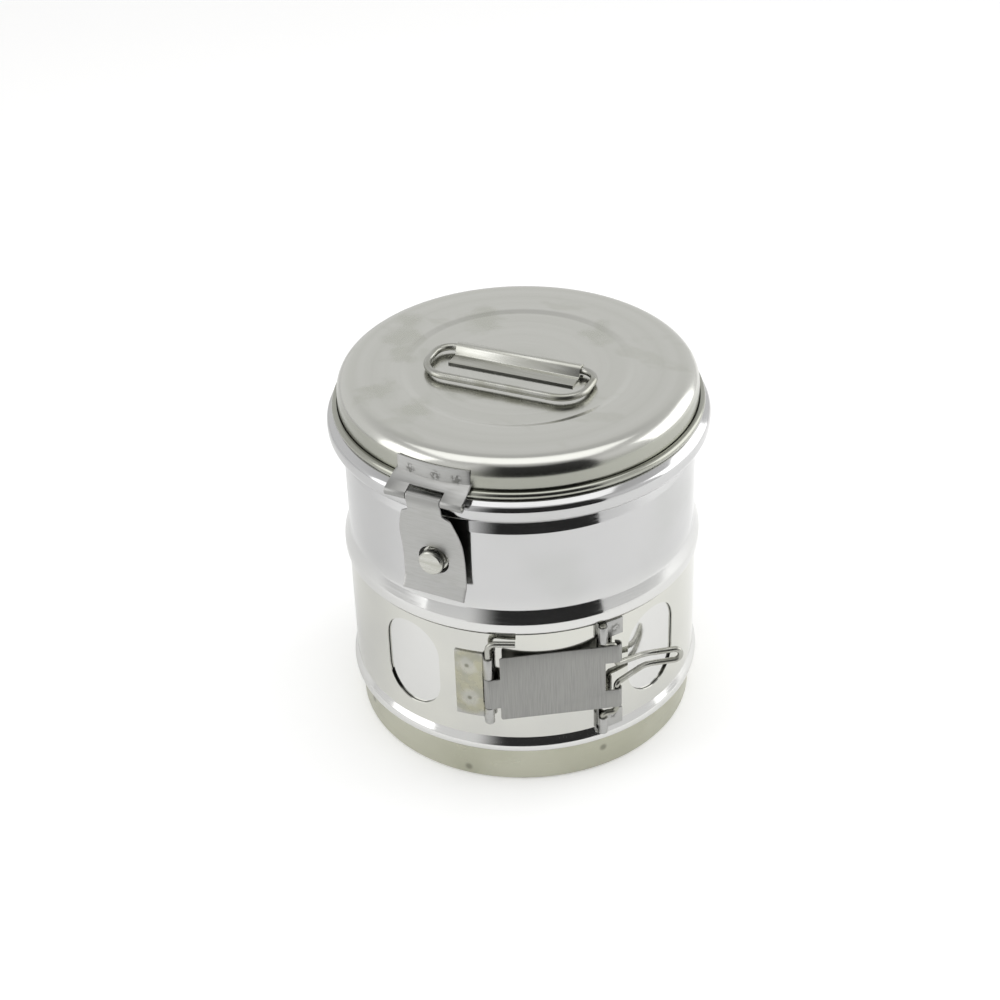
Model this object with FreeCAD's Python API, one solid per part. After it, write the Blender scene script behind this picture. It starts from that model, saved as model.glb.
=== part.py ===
import FreeCAD, Part
import math
import os

# Sterilization container: a round dressing drum of thin stainless sheet.
# Millimetres. The origin is the centre of the foot ring's underside and +Z is up.
# -Y is the front, where the hasp is, and the lid hinge is at +Y.
# Azimuths are degrees from the front, positive towards +X.

Vector = FreeCAD.Vector

# Sheet, strip and clearances
sheet = 0.7
band_sheet = 0.6
clip_sheet = 0.9
weld_gap = 0.05
body_gap = 0.3
hinge_clearance = 0.08
cutter_spare = 20.0
root_lap = 1.0

# Drum wall
wall_radius = 75.0
wall_foot_z = 16.4
neck_step = 0.4
neck_height = 10.6
neck_bend = 0.8
small_bead_out = 2.5
small_bead_rise = 1.2
small_bead_root_bend = 0.6
small_bead_nose_bend = 1.8
lower_bead_z = 17.2
lower_bead_crest = 2.4
lower_bead_slope = 4.0
lower_bead_bend = 4.0
middle_bead_z = 80.0
middle_bead_crest = 4.3
middle_bead_slope = 6.0
middle_bead_bend = 5.0
rim_bead_out = 6.0
rim_bead_z = 133.8
rim_bead_height = 12.8
rim_bead_rise = 2.2
rim_bead_root_bend = 2.5
rim_bead_nose_bend = 4.8
rim_bead_top_bend = 5.1

# Foot ring and bottom
foot_curl_width = 3.5
foot_curl_height = 2.4
foot_top_z = 22.4
foot_bend = 1.2
foot_curl_bend = 0.9
bottom_flange = 8.0
bottom_bend = 2.0

# Vents and windows
vent_width = 17.0
vent_height = 36.0
vent_offset = 45.0
window_width = 28.6
window_height = 42.6
window_z = 54.2
window_half_pitch = 42.4

# Vent band
band_bottom_z = 25.0
band_top_z = 79.6
band_gap_width = 1.0

# Lid
lid_height = 16.4
lid_slip = 0.7
lid_shoulder_width = 5.7
lid_shoulder_fall = 20.0
lid_shoulder_bend = 20.0
lid_corner_bend = 3.0
lid_curl_width = 2.6
lid_curl_height = 2.7
lid_curl_slit = 0.45
lid_curl_bend = 1.25
lid_press_radius = 49.0
lid_press_depth = 0.6
lid_press_slope = 1.6
lid_press_bend = 1.5

# Lid handle
handle_azimuth = 3.5
handle_wire = 3.1
handle_half_length = 35.5
handle_depth = 24.1
handle_rear_bend = 7.4
handle_front_bend = 11.5
handle_axis_y = 2.4
handle_end_gap = 0.6
clip_length = 56.0
clip_reach = 10.6
clip_upstand = 1.2
clip_bend = 0.9
clip_roll_turn = 195.0

# Hinge knuckles over the rim, used by the hasp and by the lid hinge
pin_diameter = 2.4
knuckle_out = 2.6
knuckle_up = 0.6
hinge_length = 34.0
centre_knuckle = 15.0
knuckle_gap = 0.3
bracket_top_drop = 4.0
bracket_fold_drop = 11.0
bracket_width = 32.0
bracket_lap = 0.4
flange_fall = 20.0
flange_root = 4.0
flange_full_width = 3.0
centre_slot_reach = 2.9
roll_turn = 285.0

# Hasp
hasp_width = 28.0
hasp_bottom_z = 98.6
hasp_fold_z = 104.0
hasp_lip_out = 2.6
hasp_fold_bend = 3.0
hasp_shoulder_z = 139.0
hasp_shoulder_run = 3.0
hasp_shoulder_fall = 0.8
hasp_shoulder_bend = 5.0
hasp_shoulder_drop = 15.0
hasp_side_bend = 16.0
hasp_neck_bend = 1.5
hasp_knee_bend = 12.0
hasp_standoff = 3.1
hasp_plate_top_z = 129.0
hasp_hole = 13.6
stud_z = 114.8
stud_collar = 11.4
stud_neck = 8.4
stud_head = 10.6
stud_collar_length = 2.2
stud_neck_length = 2.0
stud_head_length = 3.0
stud_chamfer = 0.5

# Lid hinge, drum side
drum_leaf_width = 26.0
drum_leaf_bottom_z = 104.0
drum_leaf_top_z = 126.0
drum_leaf_knee_z = 136.5
drum_leaf_knee_bend = 3.0
drum_neck_root = 3.0
drum_neck_drop = 4.0

# Band clasp, in a frame turned to the flat plate: across, out, up
clasp_azimuth = 34.5
clasp_centre_azimuth = 30.0
band_gap_azimuth = 50.1
rod_diameter = 2.5
plate_lift = 0.4
plate_bottom_z = 37.6
plate_top_z = 70.1
plate_left = -21.0
plate_corner = 1.0
notch_left = 23.3
notch_bottom_z = 46.8
notch_top_z = 61.4
pin_across = -25.6
trunnion_across = 22.5
crank_across = 28.3
hook_turn = 190.0
strip_roll_turn = 225.0
strip_bend = 1.0
bracket_slot_margin = 0.1
tongue_bottom_z = 43.9
tongue_top_z = 59.0
clasp_bracket_bottom_z = 35.9
clasp_bracket_top_z = 69.3
clasp_bracket_sweep = 8.2
clasp_bracket_run = 1.30248
pin_arm_z = 76.8
pin_arm_across = -14.3
pin_arm_lift = 2.2
pin_arm_bend = 3.2
pin_overhang = 0.8
end_knuckle_length = 8.0
upper_end_knuckle_z = 71.4
lower_end_knuckle_z = 23.4
end_strip_sweep = 5.1
end_strip_run = 1.28946
crank_bend = 2.2
lever_bend = 2.0
lever_knee_across = 42.0
lever_knee_drop = 7.55
lever_tip_across = 57.4
lever_tip_drop = 8.35
lever_knee_bend = 14.0
lever_spacing = 5.7
lever_root_spacing = 10.3
lever_z = 54.0

# Worked out from the sizes above
half_sheet = sheet / 2
wall_inner = wall_radius - sheet
band_inner = wall_radius + body_gap
band_outer = band_inner + band_sheet
neck_radius = wall_radius - neck_step
lid_inner = neck_radius + lid_slip
lid_outer = lid_inner + sheet
rim_bead_top_z = rim_bead_z + rim_bead_height
neck_top_z = rim_bead_top_z + neck_height
lid_top_z = rim_bead_top_z + lid_height
bracket_top_z = lid_top_z - bracket_top_drop
bracket_fold_z = lid_top_z - bracket_fold_drop
knuckle_axis_radius = wall_radius + rim_bead_out + knuckle_out
knuckle_axis_z = rim_bead_top_z + knuckle_up
hasp_plate_radius = wall_radius + hasp_standoff
pin_arm_out = wall_radius + pin_arm_lift
lid_foot_z = rim_bead_top_z + half_sheet + body_gap
rod_radius = rod_diameter / 2
rod_roll = rod_radius + hinge_clearance + half_sheet
pin_roll = pin_diameter / 2 + hinge_clearance + half_sheet
plate_inner = band_outer + plate_lift
plate_middle = plate_inner + half_sheet
pin_out = plate_middle - rod_roll
crank_out = plate_inner - rod_radius - body_gap
lever_knee_out = crank_out - lever_knee_drop
lever_tip_out = crank_out - lever_tip_drop


# Outlines in two directions, with bends

def heading(start, end):
    """Unit direction from one outline point to the next."""
    across = end[0] - start[0]
    up = end[1] - start[1]
    length = math.hypot(across, up)
    return across / length, up / length


def moved_line(points, side):
    """A bent line moved sideways, with each bend radius following it."""
    moved = []
    last = len(points) - 1
    for i, (a, b, bend) in enumerate(points):
        first = heading(points[max(i - 1, 0)], points[max(i, 1)])
        second = heading(points[min(i, last - 1)], points[min(i + 1, last)])
        scale = side / (1 + first[0] * second[0] + first[1] * second[1])
        turn = first[0] * second[1] - first[1] * second[0]
        radius = max(bend - side * math.copysign(1, turn), 0) if bend else 0
        a_new = a - (first[1] + second[1]) * scale
        b_new = b + (first[0] + second[0]) * scale
        moved.append((a_new, b_new, radius))
    return moved


def bent_edges(corners):
    """Straight edges joined by tangent arcs, through corners of (point, bend)."""
    edges = []
    here = corners[0][0]
    for i in range(1, len(corners) - 1):
        corner, bend = corners[i]
        inward = (corner - corners[i - 1][0]).normalize()
        outward = (corners[i + 1][0] - corner).normalize()
        turn = inward.getAngle(outward)
        if bend <= 0 or turn < 1e-6:
            edges.append(Part.LineSegment(here, corner).toShape())
            here = corner
            continue
        cut = bend * math.tan(turn / 2)
        start = corner - inward * cut
        end = corner + outward * cut
        towards = (outward - inward).normalize()
        middle = corner + towards * (bend / math.cos(turn / 2) - bend)
        if (start - here).Length > 1e-5:
            edges.append(Part.LineSegment(here, start).toShape())
        edges.append(Part.Arc(start, middle, end).toShape())
        here = end
    if (corners[-1][0] - here).Length > 1e-5:
        edges.append(Part.LineSegment(here, corners[-1][0]).toShape())
    return edges


def side_view(a, b):
    """An outline point as radius and height, at the front of the drum."""
    return Vector(0, -a, b)


def plan_view(a, b):
    """An outline point as across and out, seen from above."""
    return Vector(a, -b, 0)


def sheet_face(points, thickness, view):
    """The section of a bent sheet whose middle line runs through the points."""
    left = [(view(a, b), bend) for a, b, bend in moved_line(points, thickness / 2)]
    right = [(view(a, b), bend) for a, b, bend in moved_line(points, -thickness / 2)]
    edges = bent_edges(left) + bent_edges(right)
    edges.append(Part.LineSegment(left[0][0], right[0][0]).toShape())
    edges.append(Part.LineSegment(left[-1][0], right[-1][0]).toShape())
    return Part.Face(Part.Wire(Part.__sortEdges__(edges)))


def coil(centre, radius, start, turn, count=3):
    """Outline points of a roll about a centre, from a start angle."""
    step = turn / count
    reach = radius / math.cos(math.radians(step) / 2)
    points = []
    for i in range(count):
        angle = math.radians(start + step * (i + 0.5))
        points.append((centre[0] + reach * math.cos(angle), centre[1] + reach * math.sin(angle), radius))
    angle = math.radians(start + turn)
    points.append((centre[0] + radius * math.cos(angle), centre[1] + radius * math.sin(angle), 0))
    return points


def touch_angle(point, centre, radius, sense):
    """Angle on a roll where a straight line from the point meets it; sense 1 turns left."""
    across = centre[0] - point[0]
    up = centre[1] - point[1]
    lean = math.asin(radius / math.hypot(across, up))
    return math.degrees(math.atan2(up, across) - sense * lean) - sense * 90


def rolled(points, centre, radius, sense, turn):
    """A bent line that ends in a roll about a centre."""
    start = touch_angle(points[-1], centre, radius, sense)
    return points + coil(centre, radius, start, sense * turn)


# Solids

def turned(shape, azimuth):
    """The shape moved round the drum's axis."""
    copy = shape.copy()
    copy.rotate(Vector(0, 0, 0), Vector(0, 0, 1), azimuth)
    return copy


def revolved(face):
    """A ring from a side view section."""
    return face.revolve(Vector(0, 0, 0), Vector(0, 0, 1), 360)


def across_front(face, start, end):
    """A side view section carried across the front, from start to end."""
    moved = face.copy()
    moved.translate(Vector(start, 0, 0))
    return moved.extrude(Vector(end - start, 0, 0))


def standing(face, bottom, top):
    """A plan view section carried upwards."""
    moved = face.copy()
    moved.translate(Vector(0, 0, bottom))
    return moved.extrude(Vector(0, 0, top - bottom))


def cylinder(radius, bottom, top):
    """A cylinder on the drum's axis."""
    return Part.makeCylinder(radius, top - bottom, Vector(0, 0, bottom))


def curved_plate(inner, thickness, bottom, top, width):
    """A plate rolled to the drum's curve, centred on the front."""
    half = math.degrees(math.asin(width / 2 / (inner + thickness / 2)))
    outside = Part.makeCylinder(inner + thickness, top - bottom, Vector(0, 0, bottom), Vector(0, 0, 1), 2 * half)
    inside = Part.makeCylinder(inner, top - bottom, Vector(0, 0, bottom), Vector(0, 0, 1), 2 * half)
    return turned(outside.cut(inside), -90 - half)


def rod(corners, diameter):
    """A round rod along a bent line in space."""
    path = Part.Wire(bent_edges(corners))
    start = corners[0][0]
    along = (corners[1][0] - start).normalize()
    ring = Part.Wire(Part.makeCircle(diameter / 2, start, along))
    return path.makePipeShell([ring], True, True)


def stadium_tool(width, height, z, azimuth):
    """A cutter for an upright opening with round ends, through one side of the drum."""
    radius = width / 2
    half = height / 2 - radius
    deep = 2 * cutter_spare
    start = Vector(0, cutter_spare - wall_radius, z)
    slab = Part.makeBox(width, deep, 2 * half, start + Vector(-radius, -deep, -half))
    upper = Part.makeCylinder(radius, deep, start + Vector(0, 0, half), Vector(0, -1, 0))
    lower = Part.makeCylinder(radius, deep, start - Vector(0, 0, half), Vector(0, -1, 0))
    return turned(slab.fuse([upper, lower]).removeSplitter(), azimuth)


def window_azimuths():
    """The four windows of the band, in pairs either side of the clasp."""
    near = window_half_pitch
    return [clasp_centre_azimuth + step for step in (-near, near, 180 - near, 180 + near)]


# Drum

def small_bead(start, crest, slope, bend):
    """Outline points of a bead that steps out sharply and then fades back into the wall."""
    middle = wall_radius - half_sheet
    out = middle + small_bead_out
    nose = start + small_bead_rise
    return [
        (middle, start, small_bead_root_bend),
        (out, nose, small_bead_nose_bend),
        (out, nose + crest, bend),
        (middle, nose + crest + slope, bend),
    ]


def drum_wall():
    """The rolled wall with two small swaged beads, the rim bead, the neck and four vents."""
    middle = wall_radius - half_sheet
    rim = middle + rim_bead_out
    neck = neck_radius - half_sheet
    points = [(middle, wall_foot_z, 0)]
    points += small_bead(lower_bead_z, lower_bead_crest, lower_bead_slope, lower_bead_bend)
    points += small_bead(middle_bead_z, middle_bead_crest, middle_bead_slope, middle_bead_bend)
    points += [
        (middle, rim_bead_z, rim_bead_root_bend),
        (rim, rim_bead_z + rim_bead_rise, rim_bead_nose_bend),
        (rim, rim_bead_top_z, rim_bead_top_bend),
        (neck, rim_bead_top_z, neck_bend),
        (neck, neck_top_z, 0),
    ]
    wall = revolved(sheet_face(points, sheet, side_view))
    vents = [stadium_tool(vent_width, vent_height, window_z, a + vent_offset) for a in window_azimuths()]
    return wall.cut(vents)


def drum_bottom():
    """The pressed bottom, a flat disc with an upturned flange."""
    height = foot_top_z + body_gap + half_sheet
    middle = wall_inner - weld_gap - half_sheet
    points = [(0, height, 0), (middle, height, bottom_bend), (middle, height + bottom_flange, 0)]
    return revolved(sheet_face(points, sheet, side_view))


def foot_ring():
    """The plain foot ring, let into the wall, with its lower edge curled inwards."""
    middle = wall_inner - weld_gap - half_sheet
    inner = middle - foot_curl_width
    points = [
        (middle, foot_top_z, 0),
        (middle, half_sheet, foot_bend),
        (inner, half_sheet, foot_curl_bend),
        (inner, foot_curl_height, 0),
    ]
    return revolved(sheet_face(points, sheet, side_view))


def hasp_stud():
    """The grooved stud on the wall that the hasp's hole goes over."""
    base = wall_radius + weld_gap
    neck = base + stud_collar_length
    head = neck + stud_neck_length
    tip = head + stud_head_length
    root = wall_inner
    outline = [
        (0, root),
        (stud_collar / 2, root),
        (stud_collar / 2, neck),
        (stud_neck / 2, neck),
        (stud_neck / 2, head),
        (stud_head / 2, head),
        (stud_head / 2, tip - stud_chamfer),
        (stud_head / 2 - stud_chamfer, tip),
        (0, tip),
    ]
    corners = [Vector(a, -b, stud_z) for a, b in outline]
    face = Part.Face(Part.makePolygon(corners + corners[:1]))
    stud = face.revolve(Vector(0, 0, stud_z), Vector(0, 1, 0), 360)
    return stud.cut(cylinder(base, stud_z - stud_head, stud_z + stud_head))


# Hinges over the rim

def knuckle_centre():
    """The hinge axis in side view."""
    return knuckle_axis_radius, knuckle_axis_z


def lid_bracket():
    """A leaf on the lid's skirt that folds out to two rolled knuckles."""
    surface = lid_outer + weld_gap
    middle = surface + half_sheet
    fall = math.tan(math.radians(flange_fall))
    start = (middle - flange_root, bracket_fold_z + flange_root * fall, 0)
    section = sheet_face(rolled([start], knuckle_centre(), pin_roll, -1, roll_turn), sheet, side_view)
    half = hinge_length / 2
    inner = centre_knuckle / 2 + knuckle_gap
    flange = across_front(section, -half, half)
    reach = pin_roll + sheet
    slot = Part.makeBox(2 * inner, cutter_spare, 3 * reach)
    slot.translate(Vector(-inner, centre_slot_reach - knuckle_axis_radius - cutter_spare,
                          knuckle_axis_z - 1.5 * reach))
    flange = flange.cut([slot, cylinder(surface, bracket_fold_z - cutter_spare, bracket_top_z)])
    flange = flange.common(side_slab(bracket_width / 2, hinge_length / 2))
    leaf = curved_plate(surface, sheet, bracket_fold_z - bracket_lap, bracket_top_z, bracket_width)
    return leaf.fuse(flange).removeSplitter()


def side_slab(inner_half, outer_half):
    """The space that a bracket may fill: narrower on the drum, full width at the knuckles."""
    near = lid_outer - cutter_spare
    far = knuckle_axis_radius + cutter_spare
    bend = knuckle_axis_radius - flange_full_width
    corners = [
        (-inner_half, near),
        (inner_half, near),
        (outer_half, bend),
        (outer_half, far),
        (-outer_half, far),
        (-outer_half, bend),
    ]
    points = [Vector(a, -b, bracket_fold_z - cutter_spare) for a, b in corners]
    face = Part.Face(Part.makePolygon(points + points[:1]))
    return face.extrude(Vector(0, 0, 2 * cutter_spare))


def hinge_pin():
    """The pin through the knuckles of one hinge."""
    start = Vector(-hinge_length / 2, -knuckle_axis_radius, knuckle_axis_z)
    return Part.makeCylinder(pin_diameter / 2, hinge_length, start, Vector(1, 0, 0))


def strap_section(points, thickness=sheet):
    """A strap that hangs from the centre knuckle, from its lower end up to the roll."""
    return sheet_face(rolled(points, knuckle_centre(), pin_roll, 1, roll_turn), thickness, side_view)


def hasp_plate():
    """The hasp: a neck at its knuckle, rounded shoulders, a hole and a lip to lift it by."""
    points = [
        (hasp_plate_radius + hasp_lip_out, hasp_bottom_z, 0),
        (hasp_plate_radius, hasp_fold_z, hasp_fold_bend),
        (hasp_plate_radius, hasp_plate_top_z, hasp_knee_bend),
    ]
    strap = across_front(strap_section(points), -hasp_width / 2, hasp_width / 2)
    plate = strap.common(hasp_outline())
    start = Vector(0, -wall_radius, stud_z)
    hole = Part.makeCylinder(hasp_hole / 2, cutter_spare, start, Vector(0, -1, 0))
    return plate.cut(hole)


def hasp_outline():
    """The hasp's front view as a cutter: neck, shoulders and straight sides."""
    neck = centre_knuckle / 2
    half = hasp_width / 2
    top = knuckle_axis_z + cutter_spare
    foot = hasp_bottom_z - cutter_spare
    drop = hasp_shoulder_z - hasp_shoulder_drop
    edges = []
    for side in (-1, 1):
        corners = [
            (Vector(0, 0, top), 0),
            (Vector(side * neck, 0, top), 0),
            (Vector(side * neck, 0, hasp_shoulder_z), hasp_neck_bend),
            (Vector(side * (neck + hasp_shoulder_run), 0, hasp_shoulder_z - hasp_shoulder_fall), hasp_shoulder_bend),
            (Vector(side * half, 0, drop), hasp_side_bend),
            (Vector(side * half, 0, foot), 0),
            (Vector(0, 0, foot), 0),
        ]
        edges += bent_edges(corners)
    face = Part.Face(Part.Wire(Part.__sortEdges__(edges)))
    face.translate(Vector(0, -wall_radius, 0))
    return face.extrude(Vector(0, -cutter_spare, 0))


def drum_hinge_leaf():
    """The drum's leaf of the lid hinge: a plate on the wall and a neck out round the rim bead."""
    surface = wall_radius + weld_gap
    middle = surface + half_sheet
    points = [
        (middle - drum_neck_root, drum_leaf_top_z - drum_neck_drop, 0),
        (knuckle_axis_radius, drum_leaf_knee_z, drum_leaf_knee_bend),
    ]
    half = centre_knuckle / 2
    neck = across_front(strap_section(points), -half, half)
    neck = neck.cut(cylinder(surface, drum_leaf_bottom_z, rim_bead_z))
    leaf = curved_plate(surface, sheet, drum_leaf_bottom_z, drum_leaf_top_z, drum_leaf_width)
    return turned(leaf.fuse(neck).removeSplitter(), 180)


# Lid

def lid_shell():
    """The lid: pressed top, soft shoulder, skirt and a curled foot that rests on the rim bead."""
    top = lid_top_z - half_sheet
    skirt = lid_inner + half_sheet
    shoulder = skirt - lid_shoulder_width
    corner_z = top - lid_shoulder_width * math.tan(math.radians(lid_shoulder_fall))
    foot = lid_foot_z + half_sheet
    curl = skirt + lid_curl_width
    points = [
        (0, top - lid_press_depth, 0),
        (lid_press_radius - lid_press_slope, top - lid_press_depth, lid_press_bend),
        (lid_press_radius, top, lid_press_bend),
        (shoulder, top, lid_shoulder_bend),
        (skirt, corner_z, lid_corner_bend),
        (skirt, foot, lid_curl_bend),
        (curl, foot, lid_curl_bend),
        (curl, foot + lid_curl_height, lid_curl_bend),
        (skirt + half_sheet + lid_curl_slit, foot + lid_curl_height, 0),
    ]
    return revolved(sheet_face(points, sheet, side_view))


def handle_axis_z():
    """Height of the handle's wire, whose roll rests on the pressed top."""
    return lid_top_z - lid_press_depth + clip_sheet + handle_wire / 2 + hinge_clearance


def handle_clip():
    """A leaf on the lid that is rolled over the handle's wire."""
    roll = handle_wire / 2 + hinge_clearance + clip_sheet / 2
    middle = lid_top_z - lid_press_depth + clip_sheet / 2
    centre = (-handle_axis_y, handle_axis_z())
    points = [
        (centre[0] + clip_reach, middle, 0),
        (centre[0] + roll + clip_upstand, middle, clip_bend),
    ]
    section = sheet_face(rolled(points, centre, roll, 1, clip_roll_turn), clip_sheet, side_view)
    clip = across_front(section, -clip_length / 2, clip_length / 2)
    return turned(clip, handle_azimuth)


def handle_loop():
    """The wire handle, whose two ends meet inside the clip."""
    z = handle_axis_z()
    rear = handle_axis_y
    front = rear - handle_depth
    half = handle_half_length
    end = handle_end_gap / 2
    corners = [
        (Vector(end, rear, z), 0),
        (Vector(half, rear, z), handle_rear_bend),
        (Vector(half, front, z), handle_front_bend),
        (Vector(-half, front, z), handle_front_bend),
        (Vector(-half, rear, z), handle_rear_bend),
        (Vector(-end, rear, z), 0),
    ]
    return turned(rod(corners, handle_wire), handle_azimuth)


# Vent band and clasp

def vent_band():
    """The springy band with four windows and a gap under the clasp."""
    band = cylinder(band_outer, band_bottom_z, band_top_z).cut(cylinder(band_inner, band_bottom_z, band_top_z))
    tools = [stadium_tool(window_width, window_height, window_z, a) for a in window_azimuths()]
    corner = Vector(-band_gap_width / 2, -band_outer - cutter_spare / 2, 0)
    gap = Part.makeBox(band_gap_width, cutter_spare, band_top_z, corner)
    tools.append(turned(gap, band_gap_azimuth))
    return band.cut(tools)


def on_drum(azimuth, radius):
    """A plan view point at an azimuth of the clasp's frame."""
    return radius * math.sin(math.radians(azimuth)), radius * math.cos(math.radians(azimuth))


def drum_bend(start, end, radius):
    """Plan view points of a strip that follows the drum and then runs straight."""
    middle = (start + end) / 2
    reach = radius / math.cos(math.radians(end - start) / 2)
    return [(*on_drum(start, radius), 0), (*on_drum(middle, reach), radius)]


def tangent_at(azimuth, radius, across):
    """Where a strip that leaves the drum at an azimuth reaches a place across."""
    point = on_drum(azimuth, radius)
    slope = -math.tan(math.radians(azimuth))
    return across, point[1] + (across - point[0]) * slope


def strip_with_knuckle(sweep, run, centre, sense):
    """Plan view section of a strip on the band, which leaves it a short run before it rolls about a rod."""
    radius = band_outer + weld_gap + half_sheet
    beside = centre[0] - sense * rod_roll
    end = math.degrees(math.asin((beside - sense * run) / radius))
    points = drum_bend(end - sense * sweep, end, radius)
    points.append((*tangent_at(end, radius, beside), strip_bend))
    angle = 180 if sense > 0 else 0
    points += coil(centre, rod_roll, angle, -sense * strip_roll_turn)
    return sheet_face(points, sheet, plan_view)


def clasp_bracket():
    """The left bracket on the band, with an upper and a lower knuckle."""
    centre = (pin_across, pin_out)
    section = strip_with_knuckle(clasp_bracket_sweep, clasp_bracket_run, centre, 1)
    strip = standing(section, clasp_bracket_bottom_z, clasp_bracket_top_z)
    reach = 2 * rod_roll + sheet
    left = pin_across - rod_roll - half_sheet - bracket_slot_margin
    slot = Part.makeBox(2 * reach, 3 * reach, tongue_top_z - tongue_bottom_z + 2 * knuckle_gap)
    slot.translate(Vector(left, -pin_out - 1.5 * reach, tongue_bottom_z - knuckle_gap))
    return turned(strip.cut(slot), clasp_azimuth)


def end_knuckle(bottom):
    """A knuckle strip at the right end of the band."""
    centre = (trunnion_across, pin_out)
    section = strip_with_knuckle(end_strip_sweep, end_strip_run, centre, -1)
    return turned(standing(section, bottom, bottom + end_knuckle_length), clasp_azimuth)


def clasp_pin():
    """The bent pin that the clasp's plate swings on."""
    corners = [
        (Vector(pin_across, -pin_out, clasp_bracket_bottom_z - pin_overhang), 0),
        (Vector(pin_across, -pin_out, pin_arm_z), pin_arm_bend),
        (Vector(pin_arm_across, -pin_arm_out, pin_arm_z), 0),
    ]
    return turned(rod(corners, rod_diameter), clasp_azimuth)


def clasp_plate():
    """The flat plate: a tongue rolled round the pin and two hooks over the crank."""
    crank = (crank_across, crank_out)
    hook_roll = plate_middle - crank_out
    flat = sheet_face([(plate_left, plate_middle, 0), (crank_across, plate_middle, 0)], sheet, plan_view)
    plate = standing(flat, plate_bottom_z, plate_top_z)
    edges = [e for e in plate.Edges if is_plate_corner(e)]
    plate = plate.makeFillet(plate_corner, edges)
    hook_line = [(crank_across - root_lap, plate_middle, 0)] + coil(crank, hook_roll, 90, -hook_turn)
    hooks = standing(sheet_face(hook_line, sheet, plan_view), plate_bottom_z, plate_top_z)
    tongue_start = [(plate_left + root_lap, plate_middle, 0)]
    tongue_line = rolled(tongue_start, (pin_across, pin_out), rod_roll, 1, roll_turn)
    tongue = standing(sheet_face(tongue_line, sheet, plan_view), tongue_bottom_z, tongue_top_z)
    corner = Vector(notch_left, -plate_middle - cutter_spare / 2, notch_bottom_z)
    notch = Part.makeBox(cutter_spare, cutter_spare, notch_top_z - notch_bottom_z, corner)
    whole = plate.fuse([hooks, tongue]).removeSplitter()
    return turned(whole.cut(notch), clasp_azimuth)


def is_plate_corner(edge):
    """True for the short edges at the plate's left corners."""
    box = edge.BoundBox
    across = abs(box.XMin - plate_left) < 0.01 and abs(box.XMax - plate_left) < 0.01
    return across and abs(edge.Length - sheet) < 0.01


def clasp_lever():
    """One bent wire: two trunnions, two cranks and a hairpin handle that leaves through the notch."""
    trunnion_top = upper_end_knuckle_z + end_knuckle_length + pin_overhang
    trunnion_bottom = lower_end_knuckle_z - pin_overhang / 2
    upper_arm = upper_end_knuckle_z - crank_bend
    lower_arm = lower_end_knuckle_z + end_knuckle_length + crank_bend
    root = lever_root_spacing / 2
    tip = lever_spacing / 2

    def at(across, out, z, bend):
        return Vector(across, -out, z), bend

    corners = [
        at(trunnion_across, pin_out, trunnion_top, 0),
        at(trunnion_across, pin_out, upper_arm, crank_bend),
        at(crank_across, crank_out, upper_arm, crank_bend),
        at(crank_across, crank_out, lever_z + root, lever_bend),
        at(lever_knee_across, lever_knee_out, lever_z + tip, lever_knee_bend),
        at(lever_tip_across, lever_tip_out, lever_z + tip, tip),
        at(lever_tip_across, lever_tip_out, lever_z - tip, tip),
        at(lever_knee_across, lever_knee_out, lever_z - tip, lever_knee_bend),
        at(crank_across, crank_out, lever_z - root, lever_bend),
        at(crank_across, crank_out, lower_arm, crank_bend),
        at(trunnion_across, pin_out, lower_arm, crank_bend),
        at(trunnion_across, pin_out, trunnion_bottom, 0),
    ]
    return turned(rod(corners, rod_diameter), clasp_azimuth)


# Every sub-part by name

parts = {
    "drum_wall": drum_wall,
    "drum_bottom": drum_bottom,
    "foot_ring": foot_ring,
    "hasp_stud": hasp_stud,
    "drum_hinge_leaf": drum_hinge_leaf,
    "lid_hinge_pin": lambda: turned(hinge_pin(), 180),
    "lid_hinge_leaf": lambda: turned(lid_bracket(), 180),
    "lid_shell": lid_shell,
    "handle_clip": handle_clip,
    "handle_loop": handle_loop,
    "hasp_bracket": lid_bracket,
    "hasp_pin": hinge_pin,
    "hasp_plate": hasp_plate,
    "vent_band": vent_band,
    "upper_end_knuckle": lambda: end_knuckle(upper_end_knuckle_z),
    "lower_end_knuckle": lambda: end_knuckle(lower_end_knuckle_z),
    "clasp_bracket": clasp_bracket,
    "clasp_pin": clasp_pin,
    "clasp_plate": clasp_plate,
    "clasp_lever": clasp_lever,
}

os.makedirs("parts", exist_ok=True)
for name, make in parts.items():
    shape = make()
    box = shape.BoundBox
    shape.exportStep("parts/" + name + ".step")
    print(name, "solids", len(shape.Solids), "valid", shape.isValid(), "mm3", round(shape.Volume, 1),
          "x", round(box.XMin, 1), round(box.XMax, 1), "y", round(box.YMin, 1), round(box.YMax, 1),
          "z", round(box.ZMin, 1), round(box.ZMax, 1))
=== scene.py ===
# %% [markdown]
# A sterilizing drum in thin stainless sheet.
# The drum holds dressings in a steam sterilizer. Its wall and lid are spun sheet, a springy
# band covers the steam vents, and a toggle clasp of bent wire pulls the band tight.
# The CAD frame gives the pieces and the bodies that they ride on. This lesson adds what the
# eye looks for: true round surfaces, soft sheet edges, the grain of each polish, weld marks
# and heat tints. Lengths are typed in millimetres and turned into metres by mm.

# %% Load the frame
import math
import bmesh
import bpy
from mathutils import Matrix, Vector


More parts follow.
